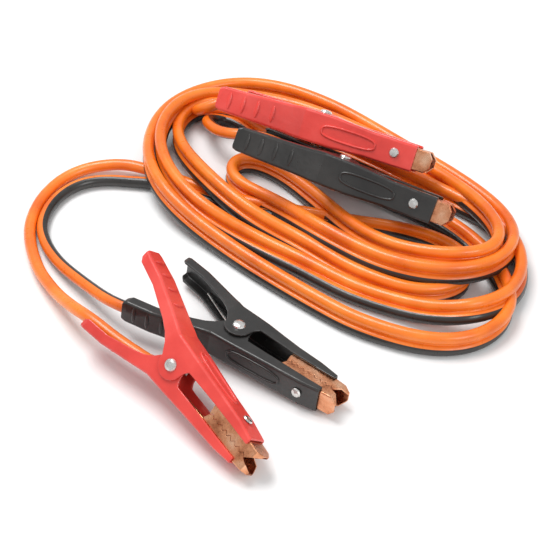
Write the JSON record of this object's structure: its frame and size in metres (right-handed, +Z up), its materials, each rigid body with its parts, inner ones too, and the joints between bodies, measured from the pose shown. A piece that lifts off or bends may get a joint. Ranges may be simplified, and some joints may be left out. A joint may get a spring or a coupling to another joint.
{
  "type": "car jumper cables",
  "caption": "Coiled twin jumper cable with spring clamps, red and black, each with hinged arms and toothed copper jaws.",
  "frame": {"origin": "centre of the clamps' footprint, on the surface that the set lies on", "axes": "+X to the right of the view, +Y away from the near clamps towards the coil's far side, +Z up"},
  "size_m": [0.3551, 0.3943, 0.0725],
  "materials": {
    "red_coat": "satin",
    "black_coat": "satin",
    "orange_insulation": "gloss",
    "striped_insulation": "gloss",
    "copper": "polished",
    "steel": "polished",
    "spring_steel": "satin"
  },
  "bodies": {
    "cables": {"coil": "orange_insulation", "far_black_cable_arm": "black_coat", "far_black_cable_jaw": "copper", "far_black_cable_jaw_rivet": "steel", "far_black_lead": "striped_insulation", "far_black_pivot_rivet": "steel", "far_black_spring_fixed": "spring_steel", "far_black_strands": "copper", "far_red_cable_arm": "red_coat", "far_red_cable_jaw": "copper", "far_red_cable_jaw_rivet": "steel", "far_red_lead": "orange_insulation", "far_red_pivot_rivet": "steel", "far_red_spring_fixed": "spring_steel", "far_red_strands": "copper", "near_black_cable_arm": "black_coat", "near_black_cable_jaw": "copper", "near_black_cable_jaw_rivet": "steel", "near_black_lead": "striped_insulation", "near_black_pivot_rivet": "steel", "near_black_spring_fixed": "spring_steel", "near_black_strands": "copper", "near_red_cable_arm": "red_coat", "near_red_cable_jaw": "copper", "near_red_cable_jaw_rivet": "steel", "near_red_lead": "orange_insulation", "near_red_pivot_rivet": "steel", "near_red_spring_fixed": "spring_steel", "near_red_strands": "copper"},
    "near_red_free_side": {"near_red_free_arm": "red_coat", "near_red_free_jaw": "copper", "near_red_free_jaw_rivet": "steel", "near_red_spring_moving": "spring_steel"},
    "near_black_free_side": {"near_black_free_arm": "black_coat", "near_black_free_jaw": "copper", "near_black_free_jaw_rivet": "steel", "near_black_spring_moving": "spring_steel"},
    "far_red_free_side": {"far_red_free_arm": "red_coat", "far_red_free_jaw": "copper", "far_red_free_jaw_rivet": "steel", "far_red_spring_moving": "spring_steel"},
    "far_black_free_side": {"far_black_free_arm": "black_coat", "far_black_free_jaw": "copper", "far_black_free_jaw_rivet": "steel", "far_black_spring_moving": "spring_steel"}
  },
  "joints": [
    {"name": "near_red_opening", "type": "hinge", "parent": "cables", "child": "near_red_free_side", "pos_m": [-0.05977, -0.10514, 0.02898], "axis": [-0.472, -0.5252, 0.708], "range_deg": [0, 22], "stiffness_Nm_per_rad": 2, "springref_deg": -34.38},
    {"name": "near_black_opening", "type": "hinge", "parent": "cables", "child": "near_black_free_side", "pos_m": [-0.02427, -0.06564, 0.01468], "axis": [0.1274, 0.0779, 0.9888], "range_deg": [0, 22], "stiffness_Nm_per_rad": 2, "springref_deg": -34.38},
    {"name": "far_red_opening", "type": "hinge", "parent": "cables", "child": "far_red_free_side", "pos_m": [0.03423, 0.11966, 0.04148], "axis": [-0.2935, -0.5521, -0.7804], "range_deg": [0, 22], "stiffness_Nm_per_rad": 2, "springref_deg": -34.38},
    {"name": "far_black_opening", "type": "hinge", "parent": "cables", "child": "far_black_free_side", "pos_m": [0.04643, 0.07446, 0.03758], "axis": [-0.3339, -0.5184, -0.7872], "range_deg": [0, 22], "stiffness_Nm_per_rad": 2, "springref_deg": -34.38}
  ]
}
